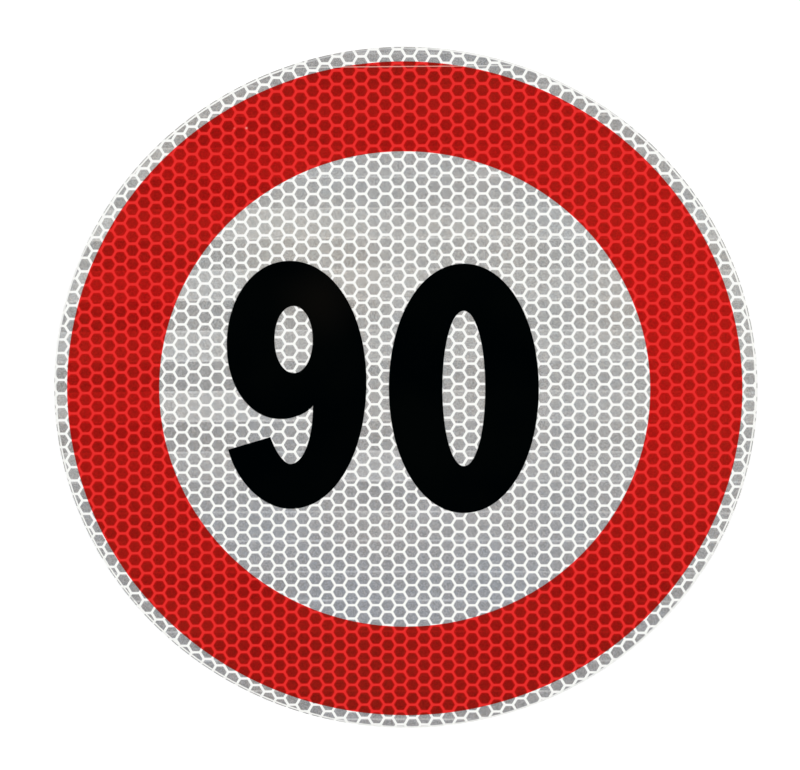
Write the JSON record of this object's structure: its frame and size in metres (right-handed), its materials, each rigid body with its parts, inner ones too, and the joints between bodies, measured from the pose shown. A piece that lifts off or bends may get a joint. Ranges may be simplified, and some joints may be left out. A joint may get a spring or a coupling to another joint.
{
  "type": "speed limit sign",
  "caption": "Round stick-on retroreflective speed limit disc with a red border and plain black numerals, for the rear of a vehicle.",
  "frame": {"origin": "middle of the disc's adhesive back face", "axes": "+Z out of the printed face, +Y towards the top of the sign, +X to the reader's right; the disc lies on its back"},
  "size_m": [0.2, 0.2, 0.0005],
  "materials": {
    "reflective_sheet": "glossy film over white honeycomb lines and silver prism cells",
    "red_border": "clear red ink that lets the honeycomb show",
    "black_film": "opaque satin black"
  },
  "bodies": {
    "root": {"reflective_sheet": "reflective_sheet", "red_border": "red_border", "numeral_nine": "black_film", "numeral_zero": "black_film"}
  },
  "joints": []
}
